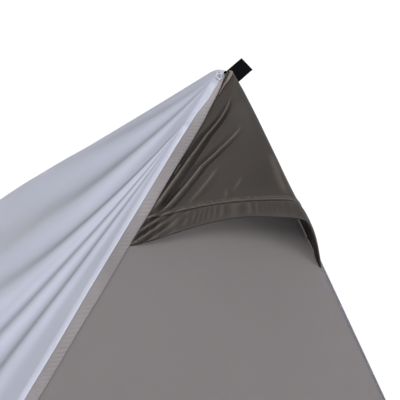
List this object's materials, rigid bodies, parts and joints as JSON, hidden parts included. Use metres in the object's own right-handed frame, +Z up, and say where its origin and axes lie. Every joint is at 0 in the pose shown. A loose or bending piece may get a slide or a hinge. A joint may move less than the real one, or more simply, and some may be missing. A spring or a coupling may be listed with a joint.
{
  "type": "ridge tent",
  "caption": "Ridge tent on a jointed pole frame, with a silver fly, arched vent hoods over mesh vents, a zipped door panel, a raised-rim floor and corner peg eyelets.",
  "frame": {"origin": "on the ground under the middle of the tent", "axes": "+Z up, +Y along the ridge from the vent end to the door end, -X left and +X right seen from the vent end"},
  "size_m": [1.5334, 2.314, 1.2565],
  "materials": {
    "silver_fly": "satin silver-coated polyester",
    "hem_tape": "woven tape",
    "gable_fabric": "smooth coated polyester",
    "hood_fabric": "glossy coated polyester",
    "body_fabric": "thin ripstop",
    "floor_fabric": "coated tub floor",
    "vent_mesh": "insect mesh",
    "black_webbing": "woven webbing",
    "stud_plastic": "moulded",
    "spring_strip": "extruded",
    "zip_coil": "nylon coil",
    "zip_metal": "die cast, painted",
    "eyelet_brass": "pressed",
    "cap_rubber": "moulded",
    "frame_plastic": "moulded",
    "buckle_plastic": "moulded",
    "pole_steel": "powder-coated steel tube",
    "button_steel": "turned"
  },
  "bodies": {
    "tent": {"apex_loops": "black_webbing", "base_zip_fixed": "zip_coil", "body_wall_left": "body_fabric", "body_wall_right": "body_fabric", "corner_patches": "floor_fabric", "door_end_connector": "frame_plastic", "door_end_hem_strip": "hem_tape", "door_end_hood": "hood_fabric", "door_end_hood_boning": "spring_strip", "door_end_leg_lower_left": "pole_steel", "door_end_leg_lower_right": "pole_steel", "door_end_leg_upper_left": "pole_steel", "door_end_leg_upper_right": "pole_steel", "door_end_mesh": "vent_mesh", "door_gable_left": "gable_fabric", "door_gable_right": "gable_fabric", "door_gable_top": "gable_fabric", "door_sill": "gable_fabric", "floor_rim": "floor_fabric", "floor_sheet": "floor_fabric", "fly_left": "silver_fly", "fly_right": "silver_fly", "fly_straps": "black_webbing", "fly_studs": "stud_plastic", "foot_caps": "cap_rubber", "lantern_lug": "frame_plastic", "peg_eyelets": "eyelet_brass", "peg_tongues": "black_webbing", "ridge_clips": "frame_plastic", "ridge_pole_door_half": "pole_steel", "ridge_pole_vent_half": "pole_steel", "side_zip_fixed": "zip_coil", "strap_tails": "black_webbing", "vent_end_connector": "frame_plastic", "vent_end_hem_strip": "hem_tape", "vent_end_hood": "hood_fabric", "vent_end_hood_boning": "spring_strip", "vent_end_leg_lower_left": "pole_steel", "vent_end_leg_lower_right": "pole_steel", "vent_end_leg_upper_left": "pole_steel", "vent_end_leg_upper_right": "pole_steel", "vent_end_mesh": "vent_mesh", "vent_gable": "gable_fabric"},
    "door": {"door_panel": "gable_fabric", "side_zip_moving": "zip_coil", "base_zip_moving": "zip_coil"},
    "side_slider": {"side_zip_slider": "zip_metal"},
    "side_pull": {"side_zip_pull": "zip_metal"},
    "base_slider": {"base_zip_slider": "zip_metal"},
    "base_pull": {"base_zip_pull": "zip_metal"},
    "vent_end_button_left": {"vent_end_leg_button_left": "button_steel"},
    "vent_end_button_right": {"vent_end_leg_button_right": "button_steel"},
    "door_end_button_left": {"door_end_leg_button_left": "button_steel"},
    "door_end_button_right": {"door_end_leg_button_right": "button_steel"},
    "ridge_button_body": {"ridge_button": "button_steel"},
    "vent_end_ladder_left": {"vent_end_buckle_left": "buckle_plastic"},
    "vent_end_ladder_right": {"vent_end_buckle_right": "buckle_plastic"},
    "door_end_ladder_left": {"door_end_buckle_left": "buckle_plastic"},
    "door_end_ladder_right": {"door_end_buckle_right": "buckle_plastic"},
    "hook": {"lantern_hook": "button_steel"}
  },
  "joints": [
    {"name": "door_swing", "type": "hinge", "parent": "tent", "child": "door", "pos_m": [-0.48234, 1.07, 0.104], "axis": [0.5049, 0, 0.8632], "range_deg": [0, 120]},
    {"name": "side_zip_slide", "type": "slide", "parent": "tent", "child": "side_slider", "axis": [-0.5049, 0, 0.8632], "range_m": [0, 0.97]},
    {"name": "side_pull_flip", "type": "hinge", "parent": "side_slider", "child": "side_pull", "pos_m": [0.5043, 1.0746, 0.062], "axis": [1, 0, 0], "range_deg": [0, 150]},
    {"name": "base_zip_slide", "type": "slide", "parent": "tent", "child": "base_slider", "axis": [-1, 0, 0], "range_m": [0, 0.97]},
    {"name": "base_pull_flip", "type": "hinge", "parent": "base_slider", "child": "base_pull", "pos_m": [0.51521, 1.0746, 0.107], "axis": [1, 0, 0], "range_deg": [0, 150]},
    {"name": "vent_end_button_press_left", "type": "slide", "parent": "tent", "child": "vent_end_button_left", "axis": [0, -1, 0], "range_m": [0, 0.0025], "stiffness_N_per_m": 800, "springref_m": -0.002},
    {"name": "vent_end_button_press_right", "type": "slide", "parent": "tent", "child": "vent_end_button_right", "axis": [0, -1, 0], "range_m": [0, 0.0025], "stiffness_N_per_m": 800, "springref_m": -0.002},
    {"name": "door_end_button_press_left", "type": "slide", "parent": "tent", "child": "door_end_button_left", "axis": [0, 1, 0], "range_m": [0, 0.0025], "stiffness_N_per_m": 800, "springref_m": -0.002},
    {"name": "door_end_button_press_right", "type": "slide", "parent": "tent", "child": "door_end_button_right", "axis": [0, 1, 0], "range_m": [0, 0.0025], "stiffness_N_per_m": 800, "springref_m": -0.002},
    {"name": "ridge_button_press", "type": "slide", "parent": "tent", "child": "ridge_button_body", "axis": [0, 0, 1], "range_m": [0, 0.0025], "stiffness_N_per_m": 800, "springref_m": -0.002},
    {"name": "vent_end_ladder_tilt_left", "type": "hinge", "parent": "tent", "child": "vent_end_ladder_left", "pos_m": [-0.69232, -1.02, 0.05149], "axis": [0, 1, 0], "range_deg": [0, 40]},
    {"name": "vent_end_ladder_tilt_right", "type": "hinge", "parent": "tent", "child": "vent_end_ladder_right", "pos_m": [0.69232, -1.02, 0.05149], "axis": [0, -1, 0], "range_deg": [0, 40]},
    {"name": "door_end_ladder_tilt_left", "type": "hinge", "parent": "tent", "child": "door_end_ladder_left", "pos_m": [-0.69232, 1.02, 0.05149], "axis": [0, 1, 0], "range_deg": [0, 40]},
    {"name": "door_end_ladder_tilt_right", "type": "hinge", "parent": "tent", "child": "door_end_ladder_right", "pos_m": [0.69232, 1.02, 0.05149], "axis": [0, -1, 0], "range_deg": [0, 40]},
    {"name": "lantern_hook_swing", "type": "hinge", "parent": "tent", "child": "hook", "pos_m": [0, 0, 1.16309], "axis": [1, 0, 0], "range_deg": [-70, 70]}
  ]
}
